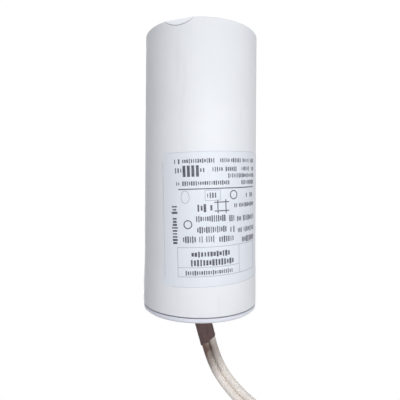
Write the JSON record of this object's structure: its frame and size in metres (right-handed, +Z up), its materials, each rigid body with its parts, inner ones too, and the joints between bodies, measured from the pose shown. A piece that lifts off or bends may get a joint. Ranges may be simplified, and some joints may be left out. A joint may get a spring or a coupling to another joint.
{
  "type": "motor start capacitor",
  "caption": "Round moulded capacitor for starting a small motor, sealed film winding inside, two insulated leads out of the lid",
  "frame": {"origin": "middle of the closed end, on the surface that the capacitor stands on", "axes": "+Z runs up the can from the closed end to the lid and the leads, -Y is the side where the label starts, and the leads lean and hang to -X"},
  "size_m": [0.1202, 0.0455, 0.1625],
  "materials": {
    "case_plastic": "semi-gloss white moulding",
    "lid_plastic": "semi-gloss white moulding",
    "label_film": "satin white film",
    "sleeve_plastic": "dark brown shrink sleeve",
    "lead_insulation": "satin cream insulation",
    "tinned_wire": "tinned copper strand",
    "solder": "bright solder",
    "resin": "cast resin",
    "board": "pressed board",
    "zinc_spray": "sprayed zinc",
    "film": "metallised film",
    "core_plastic": "natural moulding",
    "clear_wrap": "clear film"
  },
  "bodies": {
    "root": {"case": "case_plastic", "lid": "lid_plastic", "label": "label_film", "lead_sleeve": "sleeve_plastic", "lead_1": "lead_insulation", "lead_2": "lead_insulation", "lead_1_inner": "lead_insulation", "lead_2_inner": "lead_insulation", "lead_1_bare_end": "tinned_wire", "lead_2_bare_end": "tinned_wire", "lead_1_strand": "tinned_wire", "lead_2_strand": "tinned_wire", "upper_solder": "solder", "lower_solder": "solder", "sealing_resin": "resin", "upper_insulator": "board", "upper_end_spray": "zinc_spray", "lower_end_spray": "zinc_spray", "film_winding": "film", "winding_core": "core_plastic", "outer_wrap": "clear_wrap", "base_spacer": "core_plastic"}
  },
  "joints": []
}
